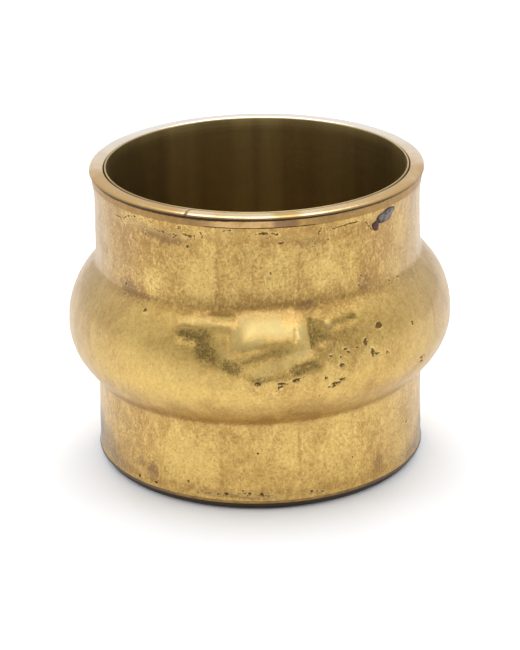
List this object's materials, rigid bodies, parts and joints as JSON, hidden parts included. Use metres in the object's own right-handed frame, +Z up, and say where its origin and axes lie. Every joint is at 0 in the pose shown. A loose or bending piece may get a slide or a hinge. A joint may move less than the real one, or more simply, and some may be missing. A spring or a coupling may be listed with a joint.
{
  "type": "planter pot",
  "caption": "Round brass planter pot with a hammered jacket, a full belt with a raised boss, a half-round rim bead and a smooth inner cup, for standing a plant in its nursery pot.",
  "frame": {"origin": "on the pot's axis, in the plane of the surface it stands on", "axes": "+Z up along the pot's axis; -Y is the front, where the boss is"},
  "size_m": [0.1766, 0.1786, 0.1385],
  "materials": {
    "hammered_brass": "hammered sheet, aged and pitted, half bright",
    "cup_brass": "smooth, darkened by age",
    "bead_brass": "smooth, worn bright",
    "collar_brass": "smooth, lightly tarnished",
    "plate_brass": "plain sheet edge, tarnished",
    "dark_foot": "blackened by age",
    "soft_solder": "dull grey soft solder",
    "tarnished_solder": "dull dark grey soft solder"
  },
  "bodies": {
    "root": {"outer_wall": "hammered_brass", "inner_cup": "cup_brass", "rim_bead": "bead_brass", "rim_collar": "collar_brass", "base_plate": "plate_brass", "foot_ring": "dark_foot", "rim_solder": "soft_solder", "base_solder": "soft_solder", "solder_patch": "tarnished_solder"}
  },
  "joints": []
}
